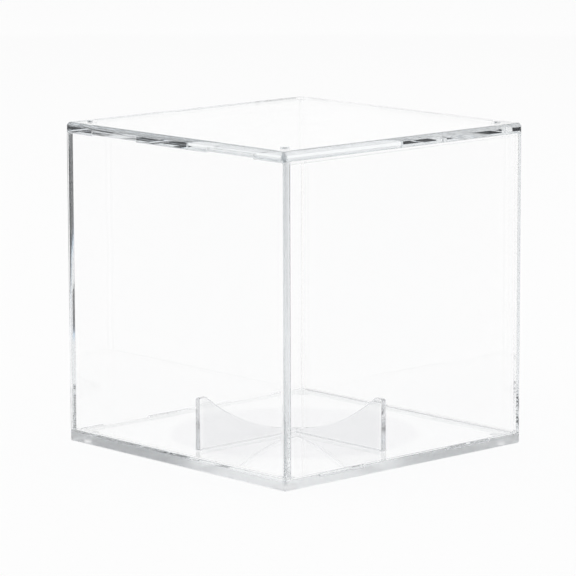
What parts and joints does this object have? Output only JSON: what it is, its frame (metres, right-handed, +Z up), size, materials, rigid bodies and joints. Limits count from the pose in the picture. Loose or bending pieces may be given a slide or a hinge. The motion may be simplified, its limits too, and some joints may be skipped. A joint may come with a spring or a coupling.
{
  "type": "ball display case",
  "caption": "Clear cube display case for a ball: a tray with two walls, a lift-off cover with the other two, and a saddle cradle.",
  "frame": {"origin": "middle of the underside of the floor, on the surface that the case stands on", "axes": "+Z up, the way the cover lifts off; -Y through the front wall, which belongs to the tray; +X through a side wall, which belongs to the cover"},
  "size_m": [0.08, 0.08, 0.0808],
  "materials": {
    "clear_tray": "polished clear plastic",
    "clear_cradle": "polished clear plastic, slightly greyer",
    "clear_cover": "polished clear plastic"
  },
  "bodies": {
    "tray_body": {"tray": "clear_tray", "ball_cradle": "clear_cradle"},
    "cover_body": {"cover": "clear_cover"}
  },
  "joints": [
    {"name": "cover_lift", "type": "slide", "parent": "tray_body", "child": "cover_body", "axis": [0, 0, 1], "range_m": [0, 0.085]}
  ]
}
